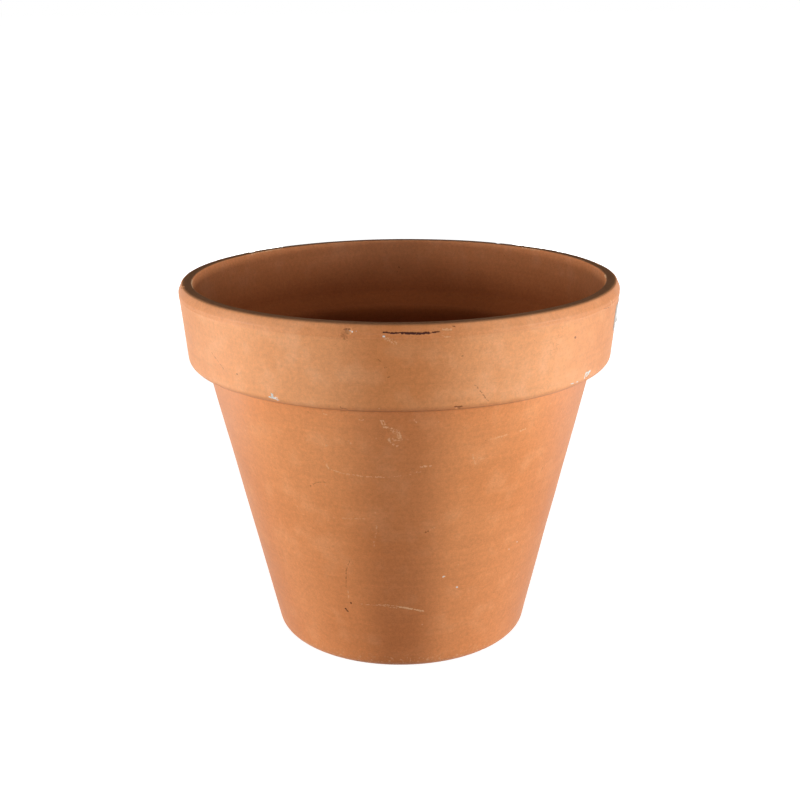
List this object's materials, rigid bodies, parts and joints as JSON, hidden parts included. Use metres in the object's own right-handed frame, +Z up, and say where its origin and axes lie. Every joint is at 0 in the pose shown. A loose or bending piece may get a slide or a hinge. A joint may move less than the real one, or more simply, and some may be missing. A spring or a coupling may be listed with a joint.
{
  "type": "plant pot",
  "caption": "Round tapered terracotta plant pot with a thick collar rim, an open top and a drain hole in its floor.",
  "frame": {"origin": "centre of the foot, on the plane that the pot stands on", "axes": "+Z up along the pot's turning axis; the pictured front faces -Y, with +X to its right"},
  "size_m": [0.2106, 0.2106, 0.178],
  "materials": {
    "terracotta": "unglazed matt fired clay",
    "label_paper": "smooth uncoated paper"
  },
  "bodies": {
    "root": {"clay_pot": "terracotta", "paper_label": "label_paper"}
  },
  "joints": []
}
